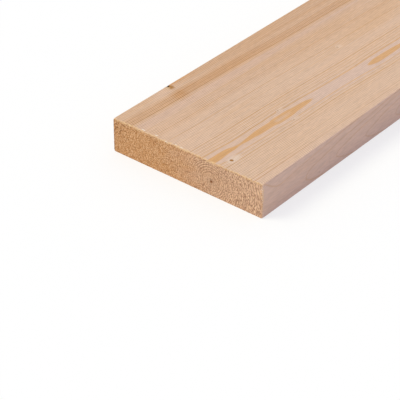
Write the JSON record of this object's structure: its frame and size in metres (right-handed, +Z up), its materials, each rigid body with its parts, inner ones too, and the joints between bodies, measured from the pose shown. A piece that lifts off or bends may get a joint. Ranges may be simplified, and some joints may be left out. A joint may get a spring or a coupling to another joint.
{
  "type": "timber plank",
  "caption": "Straight planed softwood plank of rectangular section with eased long edges and square-sawn ends, for framing, joists and shelving.",
  "frame": {"origin": "middle of the underside, halfway along the length and across the width, on the surface the plank lies on", "axes": "+Y along the length away from the near sawn end, +X across the width, +Z up through the thickness"},
  "size_m": [0.22, 2.4, 0.045],
  "materials": {
    "softwood": "planed, unfinished, with rough-sawn ends"
  },
  "bodies": {
    "root": {"plank": "softwood"}
  },
  "joints": []
}
